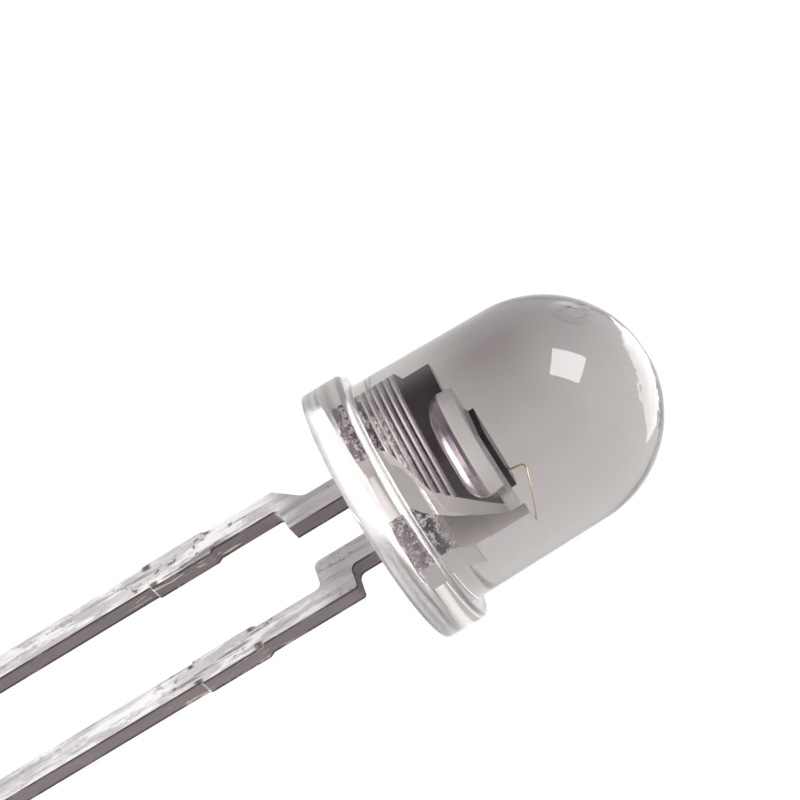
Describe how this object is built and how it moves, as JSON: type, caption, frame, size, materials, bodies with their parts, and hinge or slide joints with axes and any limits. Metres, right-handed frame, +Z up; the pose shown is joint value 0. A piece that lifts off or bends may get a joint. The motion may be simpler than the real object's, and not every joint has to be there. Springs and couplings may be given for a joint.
{
  "type": "through hole led",
  "caption": "Clear round 5 mm through hole lamp: domed epoxy lens with a flange and a flat, stamped leadframe with anvil, header and post, die, bond wire, and two kinked leads.",
  "frame": {"origin": "centre of the footprint of the lamp as it lies on a table, on the table", "axes": "+X along the lamp towards the dome, +Y towards the cathode side, +Z up and out of the front face of the leads; the lamp's own axis rises towards the dome by about five degrees"},
  "size_m": [0.0376, 0.0054, 0.0058],
  "materials": {
    "clear_epoxy": "clear cast epoxy, glossy, faintly grey",
    "plated_lead": "tin plated steel, scratched, matte on the sheared edges",
    "dark_die": "dark semiconductor die with sawn sides",
    "silver_paste": "silver filled conductive paste",
    "gold_wire": "drawn gold wire"
  },
  "bodies": {
    "root": {"lens": "clear_epoxy", "cathode_lead": "plated_lead", "anode_lead": "plated_lead", "chip": "dark_die", "die_attach": "silver_paste", "bond_wire": "gold_wire"}
  },
  "joints": []
}
